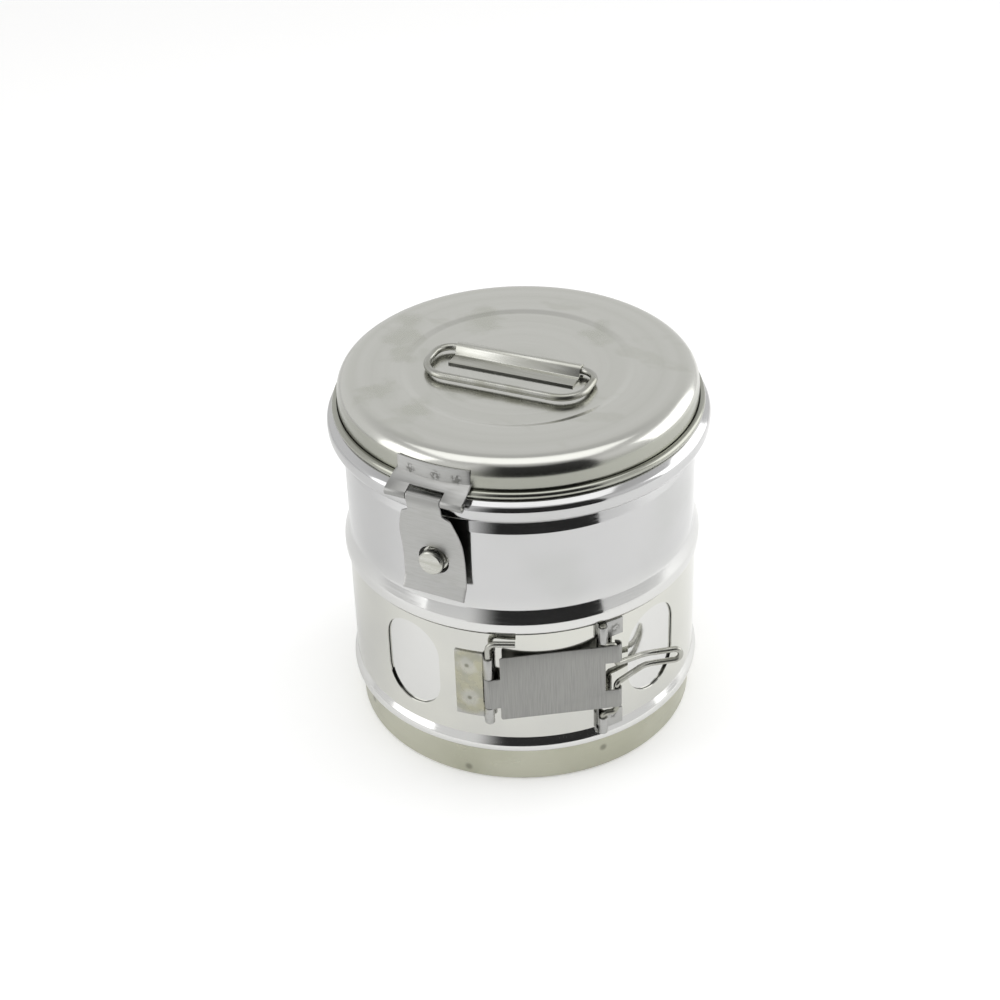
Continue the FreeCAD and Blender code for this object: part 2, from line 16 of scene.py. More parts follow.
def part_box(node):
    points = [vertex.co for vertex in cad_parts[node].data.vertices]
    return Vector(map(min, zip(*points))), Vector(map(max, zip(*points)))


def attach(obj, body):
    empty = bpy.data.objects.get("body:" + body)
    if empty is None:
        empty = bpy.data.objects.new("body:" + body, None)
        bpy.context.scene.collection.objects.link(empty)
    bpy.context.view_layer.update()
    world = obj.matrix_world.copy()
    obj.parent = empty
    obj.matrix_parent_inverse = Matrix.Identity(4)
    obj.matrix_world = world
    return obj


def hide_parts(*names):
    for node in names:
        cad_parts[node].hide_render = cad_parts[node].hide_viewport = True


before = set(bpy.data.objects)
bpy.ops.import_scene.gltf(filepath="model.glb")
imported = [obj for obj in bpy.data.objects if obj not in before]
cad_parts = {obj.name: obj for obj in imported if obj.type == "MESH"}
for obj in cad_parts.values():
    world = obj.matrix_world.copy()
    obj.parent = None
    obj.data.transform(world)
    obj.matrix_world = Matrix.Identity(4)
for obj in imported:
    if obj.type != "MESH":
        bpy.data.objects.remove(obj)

mm = 0.001
full_turn = 2 * math.pi
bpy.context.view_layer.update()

# %% [markdown]
# A few helpers serve the whole lesson. They put an object in the scene, turn a shape that is
# built point by point into an object, and find a point at an angle round the drum.

# %% Object helpers
def add_object(name, data):
    """Puts a new object with this data in the scene."""
    made = bpy.data.objects.new(name, data)
    bpy.context.scene.collection.objects.link(made)
    return made


def add_shape(name, shape):
    """Turns a shape built with bmesh into a mesh object."""
    mesh = bpy.data.meshes.new(name)
    shape.to_mesh(mesh)
    shape.free()
    return add_object(name, mesh)


def skin(shape, lines):
    """Lays faces between neighbouring lines of points."""
    for line, following in zip(lines, lines[1:]):
        for column in range(len(line) - 1):
            shape.faces.new((line[column], line[column + 1], following[column + 1], following[column]))


def on_round(azimuth, radius, height):
    """A point about the drum's axis, its azimuth in degrees from the front."""
    turn = math.radians(azimuth)
    return Vector((radius * math.sin(turn), -radius * math.cos(turn), height))


# %% [markdown]
# Camera. The lens and the place come from the perspective of the drum's own circles.
# The camera stands 27 degrees round from the hasp and looks down on the lid.

# %% Camera
camera_azimuth = 27.0
camera_distance = 724.2 * mm
camera_height = 581.5 * mm
camera_down = math.radians(33.858)
camera_aside = math.radians(-0.730)
camera_roll = math.radians(-2.019)
lens_length = 72.0
sensor_width = 36.0

level = math.cos(camera_down)
forward = Vector((math.sin(camera_aside) * level, math.cos(camera_aside) * level, -math.sin(camera_down)))
right = forward.cross(Vector((0, 0, 1))).normalized()
axes = Matrix((right, right.cross(forward), -forward)).transposed()
about_drum = Matrix.Rotation(math.radians(camera_azimuth), 3, "Z")

camera = add_object("camera", bpy.data.cameras.new("camera"))
camera.data.lens = lens_length
camera.data.sensor_width = sensor_width
camera.location = about_drum @ Vector((0, -camera_distance, camera_height))
camera.rotation_euler = (about_drum @ axes @ Matrix.Rotation(camera_roll, 3, "Z")).to_euler()
bpy.context.scene.camera = camera
bpy.context.scene.view_settings.view_transform = "Standard"
print("camera at", [round(c, 3) for c in camera.location])

# %% [markdown]
# Small helpers build every node tree below. The first adds a node and fills its sockets, with
# numbers or with links. The others do arithmetic, mix colours, make soft steps and read a
# height.

# %% Node helpers
def put(tree, kind, inputs=None, **settings):
    """Adds a node, sets its options and fills its sockets with values or links."""
    node = tree.nodes.new(kind)
    for name, value in settings.items():
        setattr(node, name, value)
    for key, value in (inputs or {}).items():
        if isinstance(value, bpy.types.NodeSocket):
            tree.links.new(value, node.inputs[key])
        else:
            node.inputs[key].default_value = value
    return node


def calc(tree, operation, a, b=0.0):
    """One step of arithmetic on two sockets or numbers."""
    return put(tree, "ShaderNodeMath", {0: a, 1: b}, operation=operation).outputs[0]


def blend_colour(tree, factor, a, b):
    """Mixes two colours, each a link or three numbers, by a factor."""
    first, second = (colour if isinstance(colour, bpy.types.NodeSocket) else (*colour, 1) for colour in (a, b))
    return put(tree, "ShaderNodeMix", {0: factor, 6: first, 7: second}, data_type="RGBA").outputs[2]


def ramp(tree, value, low, high, to_low=0.0, to_high=1.0):
    """A soft step from to_low to to_high as the value goes from low to high."""
    spread = {"Value": value, "From Min": low, "From Max": high, "To Min": to_low, "To Max": to_high}
    return put(tree, "ShaderNodeMapRange", spread, interpolation_type="SMOOTHSTEP").outputs[0]


def height_of(tree, place):
    """The height of a place."""
    return put(tree, "ShaderNodeSeparateXYZ", {0: place}).outputs["Z"]


# %% [markdown]
# Studio. Polished steel shows its surroundings, so they matter as much as the metal. A
# pale floor fills the upright walls. Soft boxes left, right and overhead draw the bright
# bars along the beads, and a dark card round the camera draws the dark ones.

# %% Floor
floor_radius = 6.0
floor_gap = 0.2 * mm
floor_white = (0.92, 0.92, 0.915, 1)
floor_glow = 0.2
shaded_side = on_round(camera_azimuth - 130, 1, 0)
shade_starts, shade_full = 0.3, 0.95

floor_shape = bmesh.new()
bmesh.ops.create_circle(floor_shape, cap_ends=True, segments=96, radius=floor_radius,
                        matrix=Matrix.Translation((0, 0, -floor_gap)))
floor = add_shape("floor", floor_shape)

floor_paint = bpy.data.materials.new("pale_floor")
floor_paint.use_nodes = True
paint = floor_paint.node_tree
shader = paint.nodes["Principled BSDF"]
shader.inputs["Base Color"].default_value = floor_white
shader.inputs["Roughness"].default_value = 0.9
shader.inputs["Emission Color"].default_value = (1, 1, 1, 1)
path = put(paint, "ShaderNodeLightPath")
place = put(paint, "ShaderNodeTexCoord").outputs["Object"]
out = put(paint, "ShaderNodeVectorMath", {0: place}, operation="NORMALIZE")
towards = put(paint, "ShaderNodeVectorMath", {0: out.outputs["Vector"], 1: shaded_side}, operation="DOT_PRODUCT")
shade = ramp(paint, towards.outputs["Value"], shade_starts, shade_full, 1.0, 0.0)
mirrored = calc(paint, "MAXIMUM", path.outputs["Is Glossy Ray"], path.outputs["Is Transmission Ray"])
mirrored = calc(paint, "MULTIPLY", mirrored, shade)
glow = calc(paint, "MULTIPLY", calc(paint, "MAXIMUM", path.outputs["Is Camera Ray"], mirrored), floor_glow)
paint.links.new(glow, shader.inputs["Emission Strength"])
floor.data.materials.append(floor_paint)

# %% Room light
horizon_level = 0.86
zenith_level = 0.6
dims_from, dims_to = 0.45, 0.95

world = bpy.data.worlds.new("studio")
world.use_nodes = True
bpy.context.scene.world = world
sky = world.node_tree
sky.nodes.clear()
rise = height_of(sky, put(sky, "ShaderNodeTexCoord").outputs["Generated"])
tone = ramp(sky, rise, dims_from, dims_to, horizon_level, zenith_level)
studio = put(sky, "ShaderNodeBackground", {"Color": tone, "Strength": 1.0})
put(sky, "ShaderNodeOutputWorld", {"Surface": studio.outputs[0]})

# %% Soft boxes
lamp_distance = 0.9
lamp_aim = Vector((0, 0, 90 * mm))


def soft_box(name, azimuth, elevation, size, brightness):
    """A rectangular lamp that faces the drum, placed by angles from the camera's side."""
    rise = math.radians(elevation)
    away = on_round(azimuth + camera_azimuth, math.cos(rise), math.sin(rise))
    lamp = add_object(name, bpy.data.lights.new(name, "AREA"))
    lamp.data.shape = "RECTANGLE"
    lamp.data.size, lamp.data.size_y = size
    lamp.data.energy = brightness * math.pi * size[0] * size[1]
    lamp.location = away * lamp_distance + lamp_aim
    lamp.rotation_euler = away.to_track_quat("Z", "Y").to_euler()


soft_box("left_box", -72, 22, (0.50, 0.70), 1.3)
soft_box("right_box", 105, 20, (0.80, 0.66), 1.5)
soft_box("top_box", 0, 86, (1.10, 0.62), 1.05)

# %% Dark card
card_radius = 0.45
card_height = 0.72
card_from, card_to = camera_azimuth - 31, camera_azimuth + 43
card_steps = 24
card_tone = 0.03
left_fade = 0.32
top_fade = 0.22
top_tone = 0.4

card_shape = bmesh.new()
card_turns = [card_from + (card_to - card_from) * step / card_steps for step in range(card_steps + 1)]
skin(card_shape, [[card_shape.verts.new(on_round(turn, card_radius, height)) for turn in card_turns]
                  for height in (0, card_height)])
card = add_shape("dark_card", card_shape)

card_paint = bpy.data.materials.new("dark_card")
card_paint.use_nodes = True
paint = card_paint.node_tree
paint.nodes.clear()
spot = put(paint, "ShaderNodeSeparateXYZ", {0: put(paint, "ShaderNodeTexCoord").outputs["Object"]})
turned_by = calc(paint, "ARCTAN2", spot.outputs["X"], calc(paint, "MULTIPLY", spot.outputs["Y"], -1.0))
left_edge = math.radians(card_from)
fade = ramp(paint, turned_by, left_edge, left_edge + left_fade, horizon_level, card_tone)
high_fade = ramp(paint, spot.outputs["Z"], card_height - top_fade, card_height, 0.0, top_tone)
glow = put(paint, "ShaderNodeEmission", {"Color": calc(paint, "MAXIMUM", fade, high_fade), "Strength": 1.0})
put(paint, "ShaderNodeOutputMaterial", {"Surface": glow.outputs[0]})
card.data.materials.append(card_paint)
card.visible_camera = False
card.visible_diffuse = False
card.visible_shadow = False
print("dark card", card_height, "m high round the camera")

# %% [markdown]
# Steel. Every part is stainless steel, and only its finish differs: rolled sheet, spun lid,
# satin foot, brushed plate, drawn wire. One function starts each finish, and each then adds
# grain that follows how that part was made. Some finishes also carry painted light: a lighter
# low wall, a darker lid skirt, a darker fold on the plates, and a near-black painted shade.
# Textures use the object's own coordinates.
# A finish names its tones first. The numbers after a pattern say where it starts and ends.

# %% Start of every finish
def steel(name, colour, roughness):
    """A stainless finish: its material, its tree, its shader and its coordinates."""
    material = bpy.data.materials.new(name)
    material.use_nodes = True
    tree = material.node_tree
    shader = tree.nodes["Principled BSDF"]
    shader.inputs["Metallic"].default_value = 1.0
    shader.inputs["Base Color"].default_value = (*colour, 1)
    shader.inputs["Roughness"].default_value = roughness
    place = put(tree, "ShaderNodeTexCoord").outputs["Object"]
    return material, tree, shader, place


def grain(tree, place, stretch, scale, detail=3.0):
    """Streaky noise, drawn out along the axes where the stretch is small."""
    spread = put(tree, "ShaderNodeMapping", {"Vector": place, "Scale": stretch})
    noise = put(tree, "ShaderNodeTexNoise", {"Vector": spread.outputs[0], "Scale": scale, "Detail": detail})
    return noise.outputs["Fac"]


def rings(tree, place, scale, detail=3.0):
    """Streaks in circles about the drum's axis."""
    flat = put(tree, "ShaderNodeVectorMath", {0: place, 1: (1, 1, 0)}, operation="MULTIPLY")
    radius = put(tree, "ShaderNodeVectorMath", {0: flat.outputs[0]}, operation="LENGTH")
    noise = put(tree, "ShaderNodeTexNoise", {"W": radius.outputs["Value"], "Scale": scale, "Detail": detail},
                noise_dimensions="1D")
    return noise.outputs["Fac"]


def emboss(tree, shader, height, depth, strength=1.0):
    """Lets a height pattern tilt the light on the surface."""
    bump = put(tree, "ShaderNodeBump", {"Height": height, "Distance": depth, "Strength": strength})
    tree.links.new(bump.outputs[0], shader.inputs["Normal"])


def dress(tree, shader, colour, roughness):
    """Gives a shader its patterns of colour and roughness."""
    tree.links.new(colour, shader.inputs["Base Color"])
    tree.links.new(roughness, shader.inputs["Roughness"])


def near_marks(tree, place, centres, inner, outer):
    """One at the centres of the marks, falling to zero at the outer distance."""
    total = None
    for centre in centres:
        span = put(tree, "ShaderNodeVectorMath", {0: place, 1: centre}, operation="DISTANCE")
        here = ramp(tree, span.outputs["Value"], inner, outer, 1.0, 0.0)
        total = here if total is None else calc(tree, "MAXIMUM", total, here)
    return total


def wandering(tree, place, scale, detail, reach):
    """A place shifted at random, so that marks lose their round outline, and its mean shift."""
    noise = put(tree, "ShaderNodeTexNoise", {"Vector": place, "Scale": scale, "Detail": detail})
    shift = put(tree, "ShaderNodeVectorMath", {0: noise.outputs["Color"], 1: reach}, operation="MULTIPLY")
    moved = put(tree, "ShaderNodeVectorMath", {0: place, 1: shift.outputs[0]}, operation="ADD")
    return moved.outputs[0], Vector(reach) / 2


# %% Rolled sheet of the wall and spring sheet of the band
even = (1.0, 1.0, 1.0)
around = (1.0, 1.0, 30.0)
upright = (30.0, 30.0, 1.0)


def rolled_waves(tree, place, lines, scale):
    """Long upright waves, with the fine lines of the rolls on them."""
    return calc(tree, "ADD", calc(tree, "MULTIPLY", lines, 0.02), grain(tree, place, upright, scale, 1.0))


rolled, tree, shader, place = steel("rolled_sheet", (0.55, 0.55, 0.55), 0.1)
clean, dull, low_painted_reflection = (0.54, 0.54, 0.54), (0.485, 0.49, 0.48), (0.66, 0.66, 0.645)
lines = grain(tree, place, around, 60.0)
tint = blend_colour(tree, ramp(tree, grain(tree, place, even, 22.0), 0.4, 0.75), clean, dull)
# Painted reflection: the wall is painted lighter from 100 mm down to 80 mm and below, for the brighter floor that its
# low part mirrors.
tint = blend_colour(tree, ramp(tree, height_of(tree, place), 100 * mm, 80 * mm), tint, low_painted_reflection)
dress(tree, shader, tint, ramp(tree, lines, 0.25, 0.8, 0.07, 0.17))
emboss(tree, shader, rolled_waves(tree, place, lines, 1.6), 0.12 * mm)

spring, tree, shader, place = steel("spring_sheet", (0.62, 0.615, 0.58), 0.08)
warm, grey = (0.62, 0.62, 0.575), (0.565, 0.565, 0.535)
lines = grain(tree, place, around, 60.0)
tint = blend_colour(tree, ramp(tree, grain(tree, place, even, 18.0), 0.35, 0.7), warm, grey)
dress(tree, shader, tint, ramp(tree, lines, 0.25, 0.8, 0.05, 0.13))
emboss(tree, shader, rolled_waves(tree, place, lines, 1.2), 0.1 * mm)

# %% Spun lid
steam_stains = [(-61, 14), (-57, 3), (-50, -8), (-43, -45), (-22, -47), (-30, 30), (18, 38)]
stain_level = 162.5

spun, tree, shader, place = steel("spun_lid", (0.52, 0.52, 0.50), 0.16)
clean, dull = (0.59, 0.59, 0.555), (0.44, 0.45, 0.385)
turned_tone, skirt_painted_shade = (0.50, 0.505, 0.46), (0.31, 0.315, 0.27)
fine_turning = rings(tree, place, 700.0)
broad_turning = rings(tree, place, 110.0, 1.0)
wander, drift = wandering(tree, place, 70.0, 5.0, (30 * mm, 30 * mm, 0))
stain_points = [Vector((x * mm, y * mm, stain_level * mm)) + drift for x, y in steam_stains]
blots = ramp(tree, grain(tree, place, (1.0, 1.6, 1.0), 38.0), 0.58, 0.68, 0.0, 0.5)
stain = calc(tree, "MAXIMUM", near_marks(tree, wander, stain_points, 3 * mm, 11 * mm), blots)
tint = blend_colour(tree, calc(tree, "MULTIPLY", stain, 0.45), clean, dull)
tint = blend_colour(tree, ramp(tree, broad_turning, 0.35, 0.75, 0.0, 0.3), tint, turned_tone)
# Painted shade: below 157 mm the skirt is painted darker and more olive, for the dim floor that it mirrors.
tint = blend_colour(tree, ramp(tree, height_of(tree, place), 157 * mm, 160 * mm, 0.8, 0.0), tint, skirt_painted_shade)
matt = calc(tree, "ADD", ramp(tree, fine_turning, 0.2, 0.8, 0.15, 0.23), calc(tree, "MULTIPLY", stain, 0.08))
dress(tree, shader, tint, matt)
emboss(tree, shader, calc(tree, "ADD", broad_turning, calc(tree, "MULTIPLY", fine_turning, 0.1)), 0.08 * mm, 0.5)

# %% Satin foot ring
weld_azimuth = 52.9
weld_step = 46.2
weld_radius = 74.3 * mm
weld_heights = (10.5 * mm, 4.2 * mm)
foot_welds = [on_round(weld_azimuth - weld_step * i, weld_radius, weld_heights[i % 2]) for i in range(7)]

satin, tree, shader, place = steel("satin_foot", (0.52, 0.52, 0.47), 0.32)
light, dark, weld_tone = (0.49, 0.49, 0.405), (0.43, 0.43, 0.345), (0.25, 0.25, 0.2)
lines = grain(tree, place, (1, 1, 12), 90.0)
tint = blend_colour(tree, ramp(tree, grain(tree, place, even, 26.0), 0.35, 0.7), light, dark)
tint = blend_colour(tree, near_marks(tree, place, foot_welds, 0.6 * mm, 2.4 * mm), tint, weld_tone)
dress(tree, shader, tint, ramp(tree, lines, 0.25, 0.75, 0.27, 0.36))
emboss(tree, shader, lines, 0.02 * mm, 0.2)

# %% Brushed plate of the clasp
brushed, tree, shader, place = steel("brushed_plate", (0.47, 0.47, 0.465), 0.42)
dark, light, cloudy = (0.27, 0.27, 0.26), (0.35, 0.35, 0.335), (0.32, 0.32, 0.305)
fine = grain(tree, place, (26, 26, 1), 90.0, 4.0)
broad = grain(tree, place, (8, 8, 1), 30.0, 2.0)
tint = blend_colour(tree, ramp(tree, fine, 0.3, 0.72), dark, light)
tint = blend_colour(tree, ramp(tree, broad, 0.45, 0.75, 0.0, 0.5), tint, cloudy)
dress(tree, shader, tint, ramp(tree, fine, 0.25, 0.75, 0.36, 0.52))
emboss(tree, shader, fine, 0.04 * mm, 0.6)

# %% Satin plate of the hasp, the leaves and the strips
lid_leaf_radius, lid_weld_level = 76.7 * mm, 154.5 * mm
drum_leaf_radius, drum_weld_level = 75.8 * mm, 115 * mm
strip_radius = 76.3 * mm
weld_spots = [on_round(azimuth, lid_leaf_radius, lid_weld_level) for azimuth in (-7.3, 1.2, 7.9)]
weld_spots += [on_round(180 + azimuth, lid_leaf_radius, lid_weld_level) for azimuth in (-7.5, 0, 7.5)]
weld_spots += [on_round(180 + azimuth, drum_leaf_radius, drum_weld_level) for azimuth in (-6, 6)]
weld_spots += [on_round(56.2, strip_radius, 75.4 * mm), on_round(55.4, strip_radius, 29.5 * mm)]

plate, tree, shader, place = steel("satin_plate", (0.46, 0.46, 0.455), 0.36)
light, dark = (0.43, 0.43, 0.42), (0.40, 0.40, 0.385)
fold_painted_shade, weld_tone = (0.31, 0.31, 0.3), (0.20, 0.20, 0.19)
fine = grain(tree, place, (1, 1, 14), 160.0)
pits = ramp(tree, grain(tree, place, even, 900.0, 2.0), 0.42, 0.56)
rough_spots = calc(tree, "MULTIPLY", near_marks(tree, place, weld_spots, 1.2 * mm, 3.0 * mm), pits)
height = height_of(tree, place)
# Painted shade: from about 145 to 151 mm, where the sheet folds out over the rim bead, the plates are painted darker.
above_rim = ramp(tree, height, 143 * mm, 147 * mm)
fold_shade_mask = calc(tree, "MULTIPLY", above_rim, ramp(tree, height, 149.8 * mm, 151.5 * mm, 1.0, 0.0))
tint = blend_colour(tree, ramp(tree, fine, 0.3, 0.75), light, dark)
tint = blend_colour(tree, fold_shade_mask, tint, fold_painted_shade)
tint = blend_colour(tree, rough_spots, tint, weld_tone)
dress(tree, shader, tint, ramp(tree, fine, 0.25, 0.8, 0.32, 0.44))
emboss(tree, shader, calc(tree, "ADD", calc(tree, "MULTIPLY", fine, 0.06), rough_spots), 0.08 * mm, 0.6)

# %% Painted shade: a near-black sheet for the hasp's back and the clip's front cut edge
painted_shade, tree, shader, place = steel("painted_shade", (0.1, 0.1, 0.095), 0.35)
soft = grain(tree, place, even, 120.0)
tint = blend_colour(tree, soft, (0.13, 0.13, 0.12), (0.08, 0.08, 0.075))
dress(tree, shader, tint, ramp(tree, soft, 0.3, 0.8, 0.3, 0.45))

# %% Heat-tinted bracket of the clasp
bracket_radius = 77.0 * mm
bracket_spots = [on_round(8.3, bracket_radius, 62 * mm), on_round(8.8, bracket_radius, 45 * mm)]
bracket_middle = [on_round(9.0, bracket_radius, level) for level in (61 * mm, 53.5 * mm, 46 * mm)]

tinted, tree, shader, place = steel("heat_tinted_plate", (0.48, 0.48, 0.465), 0.32)
bare, olive_light, olive_dark = (0.41, 0.41, 0.395), (0.39, 0.38, 0.29), (0.34, 0.34, 0.285)
halo_tone, core_tone = (0.48, 0.48, 0.455), (0.22, 0.22, 0.18)
soft = grain(tree, place, even, 160.0)
wander, drift = wandering(tree, place, 260.0, 2.0, (5 * mm, 5 * mm, 5 * mm))
heat = near_marks(tree, place, bracket_middle, 7.5 * mm, 11 * mm)
halo = near_marks(tree, wander, [spot + drift for spot in bracket_spots], 2.5 * mm, 5.5 * mm)
core = near_marks(tree, place, bracket_spots, 0.5 * mm, 1.5 * mm)
olive = blend_colour(tree, ramp(tree, soft, 0.35, 0.7), olive_light, olive_dark)
tint = blend_colour(tree, heat, bare, olive)
tint = blend_colour(tree, calc(tree, "MULTIPLY", halo, 0.55), tint, halo_tone)
tint = blend_colour(tree, core, tint, core_tone)
dress(tree, shader, tint, ramp(tree, soft, 0.3, 0.8, 0.22, 0.4))
emboss(tree, shader, calc(tree, "SUBTRACT", calc(tree, "MULTIPLY", soft, 0.3), core), 0.06 * mm, 0.5)

# %% Bright sheet of the handle's clip and the turned stud, and drawn wire
bright, tree, shader, place = steel("bright_sheet", (0.55, 0.55, 0.51), 0.2)
streaks = grain(tree, place, (1, 14, 14), 40.0)
tint = blend_colour(tree, ramp(tree, streaks, 0.3, 0.7), (0.54, 0.54, 0.505), (0.45, 0.45, 0.405))
dress(tree, shader, tint, ramp(tree, streaks, 0.25, 0.75, 0.24, 0.34))

wire, tree, shader, place = steel("drawn_wire", (0.5, 0.5, 0.48), 0.25)
cloud = ramp(tree, grain(tree, place, even, 120.0), 0.35, 0.75)
tint = blend_colour(tree, cloud, (0.42, 0.42, 0.39), (0.33, 0.33, 0.285))
dress(tree, shader, tint, ramp(tree, cloud, 0.0, 1.0, 0.24, 0.32))
finishes = (rolled, spring, spun, satin, brushed, plate, painted_shade, tinted, bright, wire)
print("finishes:", [finish.name for finish in finishes])

# %% [markdown]
# Spun sheet. The wall, the lid, the foot and the band are all surfaces of revolution. A
# curve gives half of the section: its points are the corners of the sheet's middle line, and
# each point's radius holds the bend there. Geometry Nodes round the bends, lay a grid over
# the section, wrap it about the axis and give it its finish.

# %% Node tree that spins a section
def group(name, *sizes):
    """A geometry tree with a mesh or curve going in and named sizes."""
    tree = bpy.data.node_groups.new(name, "GeometryNodeTree")
    tree.interface.new_socket("Geometry", in_out="INPUT", socket_type="NodeSocketGeometry")
    tree.interface.new_socket("Geometry", in_out="OUTPUT", socket_type="NodeSocketGeometry")
    for size, kind in sizes:
        tree.interface.new_socket(size, in_out="INPUT", socket_type="NodeSocket" + kind)
    return tree, put(tree, "NodeGroupInput").outputs


def finish_group(tree, given, geometry):
    """Ends a geometry tree with real faces and one finish."""
    real = put(tree, "GeometryNodeRealizeInstances", {0: geometry})
    painted = put(tree, "GeometryNodeSetMaterial", {"Geometry": real.outputs[0], "Material": given["Finish"]})
    put(tree, "NodeGroupOutput", {0: painted.outputs[0]})


spin, given = group("Spin a section", ("Columns", "Int"), ("Bend Points", "Int"), ("Start Angle", "Float"),
                    ("Sweep Angle", "Float"), ("Finish", "Material"))
bends = put(spin, "GeometryNodeInputRadius").outputs[0]
rounded = put(spin, "GeometryNodeFilletCurve", {"Curve": given["Geometry"], "Count": given["Bend Points"],
                                                "Radius": bends, "Limit Radius": True}, mode="POLY")
rows = put(spin, "GeometryNodeAttributeDomainSize", {0: rounded.outputs[0]}, component="CURVE").outputs["Point Count"]
grid = put(spin, "GeometryNodeMeshGrid", {"Vertices X": calc(spin, "ADD", given["Columns"], 1.0), "Vertices Y": rows})
index = put(spin, "GeometryNodeInputIndex").outputs[0]
row = calc(spin, "MODULO", index, rows)
column = calc(spin, "FLOOR", calc(spin, "DIVIDE", calc(spin, "ADD", index, 0.5), rows))
corner = put(spin, "GeometryNodeInputPosition").outputs[0]
section = put(spin, "GeometryNodeSampleIndex", {"Geometry": rounded.outputs[0], "Value": corner, "Index": row},
              data_type="FLOAT_VECTOR").outputs["Value"]
point = put(spin, "ShaderNodeSeparateXYZ", {0: section})
step = calc(spin, "DIVIDE", given["Sweep Angle"], given["Columns"])
angle = calc(spin, "ADD", given["Start Angle"], calc(spin, "MULTIPLY", column, step))
ring_x = calc(spin, "MULTIPLY", point.outputs["X"], calc(spin, "SINE", angle))
ring_y = calc(spin, "MULTIPLY", calc(spin, "MULTIPLY", point.outputs["X"], calc(spin, "COSINE", angle)), -1.0)
wrapped = put(spin, "ShaderNodeCombineXYZ", {"X": ring_x, "Y": ring_y, "Z": point.outputs["Z"]})
placed = put(spin, "GeometryNodeSetPosition", {"Geometry": grid.outputs[0], "Position": wrapped.outputs[0]})
closed = put(spin, "GeometryNodeMergeByDistance", {"Geometry": placed.outputs[0], "Distance": 0.001 * mm})
finish_group(spin, given, closed.outputs[0])
print("tree", spin.name, "has", len(spin.nodes), "nodes")

# %% Run a tree and keep a plain mesh
def set_sizes(modifier, sizes):
    """Fills a modifier's named inputs, by the identifier of each socket."""
    for item in modifier.node_group.interface.items_tree:
        if item.item_type == "SOCKET" and item.in_out == "INPUT" and item.name in sizes:
            modifier[item.identifier] = sizes[item.name]


def run_tree(piece, tree, sizes):
    """Adds a geometry tree to a piece, with its sizes."""
    modifier = piece.modifiers.new(tree.name, "NODES")
    modifier.node_group = tree
    set_sizes(modifier, sizes)
    piece.update_tag()


def plain(piece, name, sharp=35.0):
    """Turns a piece with modifiers into a plain, smooth mesh object."""
    seen_now = piece.evaluated_get(bpy.context.evaluated_depsgraph_get())
    mesh = bpy.data.meshes.new_from_object(seen_now)
    bpy.data.objects.remove(piece)
    mesh.name = name
    mesh.shade_smooth()
    mesh.set_sharp_from_angle(angle=math.radians(sharp))
    return add_object(name, mesh)


def bent_line(name, points):
    """A curve through corners in millimetres, each with its bend radius last."""
    curve = bpy.data.curves.new(name, "CURVE")
    curve.dimensions = "3D"
    spline = curve.splines.new("POLY")
    spline.points.add(len(points) - 1)
    for corner, values in zip(spline.points, points):
        corner.co = (*(c * mm for c in values[:-1]), 1)
        corner.radius = values[-1] * mm
    return add_object(name, curve)


def spin_section(name, section, finish, columns=256, bend_points=10, start=0.0, sweep=full_turn):
    """Spins (radius, height, bend) corners in millimetres about the drum's axis."""
    line = bent_line(name + "_section", [(radius, 0, height, bend) for radius, height, bend in section])
    run_tree(line, spin, {"Columns": columns, "Bend Points": bend_points, "Start Angle": start,
                          "Sweep Angle": sweep, "Finish": finish})
    return line


def thicken(piece, thickness):
    """Gives a surface an even thickness in millimetres, half on each side."""
    sides = piece.modifiers.new("thickness", "SOLIDIFY")
    sides.thickness = thickness * mm
    sides.offset = 0
    sides.use_even_offset = True
    return sides


def spun_sheet(name, section, thickness, finish, start=0.0, sweep=full_turn):
    """A sheet of even thickness, spun from the corners of its middle line."""
    shell = plain(spin_section(name, section, finish, start=start, sweep=sweep), name + "_shell")
    thicken(shell, thickness).use_quality_normals = True
    return shell


def round_edges(piece, width, angle):
    """Rounds the edges that turn by more than an angle in degrees."""
    bevel = piece.modifiers.new("edges", "BEVEL")
    bevel.width = width
    bevel.segments = 2
    bevel.limit_method = "ANGLE"
    bevel.angle_limit = math.radians(angle)


def face_outwards(piece):
    """Turns the faces of a closed piece outwards."""
    shape = bmesh.new()
    shape.from_mesh(piece.data)
    if shape.calc_volume(signed=True) < 0:
        bmesh.ops.reverse_faces(shape, faces=shape.faces)
    shape.to_mesh(piece.data)
    shape.free()


def settle(piece, body, slot, *nodes):
    """Puts a finished piece on its body, in place of its CAD nodes."""
    face_outwards(piece)
    if nodes:
        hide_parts(*nodes)
    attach(piece, body)
    print(piece.name, "on", body, "faces", len(piece.data.polygons))


# %% [markdown]
# Openings. The wall has four steam vents and the band four windows, in two pairs on opposite
# sides. Both are upright slots with round ends, so one tree cuts them: a slot-shaped
# bar, copied to four places about the axis, taken away from the sheet.

# %% Node tree that cuts the openings
cut, given = group("Cut openings", ("Width", "Float"), ("Height", "Float"), ("Level", "Float"), ("Reach", "Float"),
                   ("Middle Angle", "Float"), ("Half Pitch", "Float"), ("Finish", "Material"))
outline = put(cut, "GeometryNodeCurvePrimitiveQuadrilateral", {"Width": given["Width"], "Height": given["Height"]})
ends = calc(cut, "MULTIPLY", given["Width"], 0.4999)
slot_line = put(cut, "GeometryNodeFilletCurve", {"Curve": outline.outputs[0], "Count": 20, "Radius": ends,
                                                 "Limit Radius": True}, mode="POLY")
half_bar = calc(cut, "MULTIPLY", given["Reach"], 0.25)
bar_line = put(cut, "GeometryNodeCurvePrimitiveLine",
               {"Start": put(cut, "ShaderNodeCombineXYZ", {"Z": calc(cut, "MULTIPLY", half_bar, -1.0)}).outputs[0],
                "End": put(cut, "ShaderNodeCombineXYZ", {"Z": half_bar}).outputs[0]})
